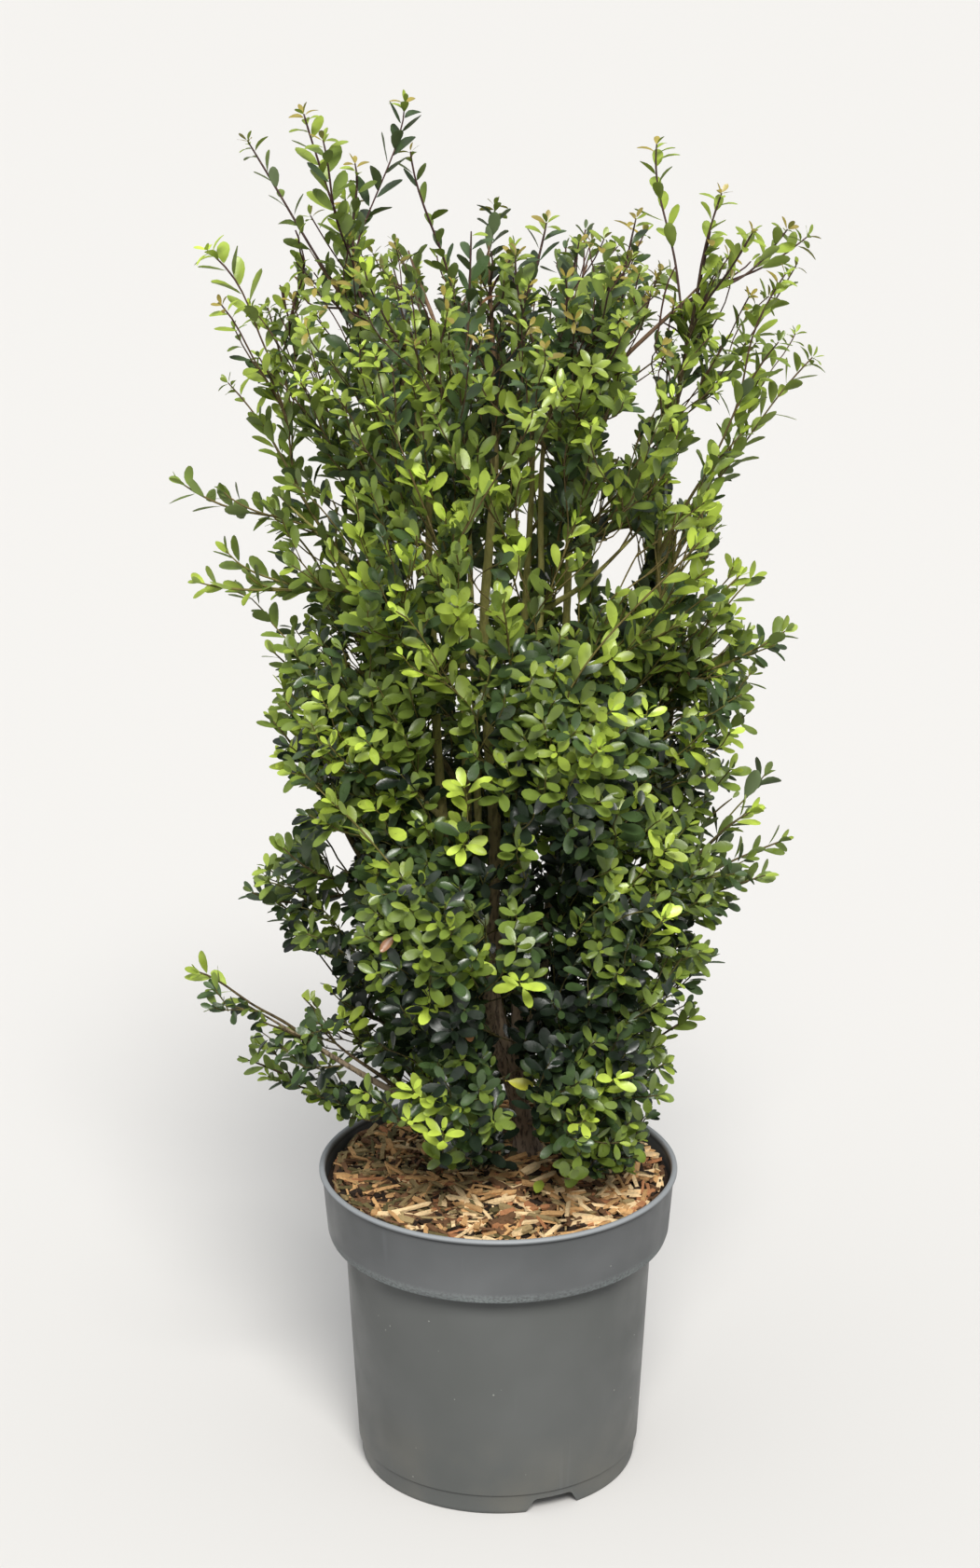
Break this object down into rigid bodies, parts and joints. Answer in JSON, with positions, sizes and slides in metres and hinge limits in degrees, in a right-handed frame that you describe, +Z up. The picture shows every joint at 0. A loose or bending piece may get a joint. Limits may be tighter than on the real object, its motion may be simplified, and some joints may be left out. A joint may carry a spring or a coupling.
{
  "type": "potted japanese holly",
  "caption": "Upright potted japanese holly: a short trunk and ascending boughs with small glossy leaves in tiers of foliage, in a round grey nursery container topped with wood chips.",
  "frame": {"origin": "middle of the container's foot, on the ground", "axes": "+Z up the stem, -Y the front in the picture, +X to its right"},
  "size_m": [0.5192, 0.4987, 1.142],
  "materials": {
    "container_plastic": "moulded grey plastic, satin, with pale scuffs under the collar",
    "compost": "dark moist potting compost",
    "wood_chips": "shredded wood chips, tan to dark brown",
    "bark": "grey-brown bark, olive on younger wood",
    "leaves_lower": "deep green leaves with a waxy gloss",
    "leaves_upper": "mid to fresh green leaves with a waxy gloss"
  },
  "bodies": {
    "root": {"bough_back": "bark", "bough_back_left": "bark", "bough_centre": "bark", "bough_far_left": "bark", "bough_front": "bark", "bough_inner_right": "bark", "bough_left": "bark", "bough_right": "bark", "compost": "compost", "foliage_low_far_left": "leaves_lower", "foliage_low_front": "leaves_lower", "foliage_low_front_right": "leaves_lower", "foliage_low_left": "leaves_lower", "foliage_lower_back_left": "leaves_lower", "foliage_lower_back_right": "leaves_lower", "foliage_lower_front_left": "leaves_lower", "foliage_lower_front_right": "leaves_lower", "foliage_lower_left": "leaves_lower", "foliage_middle_back_left": "leaves_lower", "foliage_middle_back_right": "leaves_lower", "foliage_middle_front": "leaves_lower", "foliage_middle_left": "leaves_lower", "foliage_middle_right": "leaves_lower", "foliage_skirt_back": "leaves_lower", "foliage_skirt_front_left": "leaves_lower", "foliage_skirt_front_right": "leaves_lower", "foliage_skirt_left": "leaves_lower", "foliage_skirt_right": "leaves_lower", "foliage_top_back_left": "leaves_upper", "foliage_top_back_right": "leaves_upper", "foliage_top_centre": "leaves_upper", "foliage_top_front_left": "leaves_upper", "foliage_top_front_right": "leaves_upper", "foliage_top_left": "leaves_upper", "foliage_top_right": "leaves_upper", "foliage_upper_back_left": "leaves_upper", "foliage_upper_back_right": "leaves_upper", "foliage_upper_front_left": "leaves_upper", "foliage_upper_front_right": "leaves_upper", "foliage_upper_left": "leaves_upper", "low_bough_far_left": "bark", "low_bough_front_right": "bark", "low_bough_left": "bark", "pot": "container_plastic", "side_bough_lower_back_left": "bark", "side_bough_lower_front_left": "bark", "side_bough_lower_front_right": "bark", "side_bough_middle_back_right": "bark", "side_bough_middle_front": "bark", "side_bough_middle_left": "bark", "side_bough_middle_right": "bark", "side_bough_skirt_front_right": "bark", "side_bough_skirt_left": "bark", "side_bough_upper_back_left": "bark", "side_bough_upper_front_left": "bark", "side_bough_upper_front_right": "bark", "side_bough_upper_left": "bark", "trunk": "bark", "wood_chips": "wood_chips"}
  },
  "joints": []
}
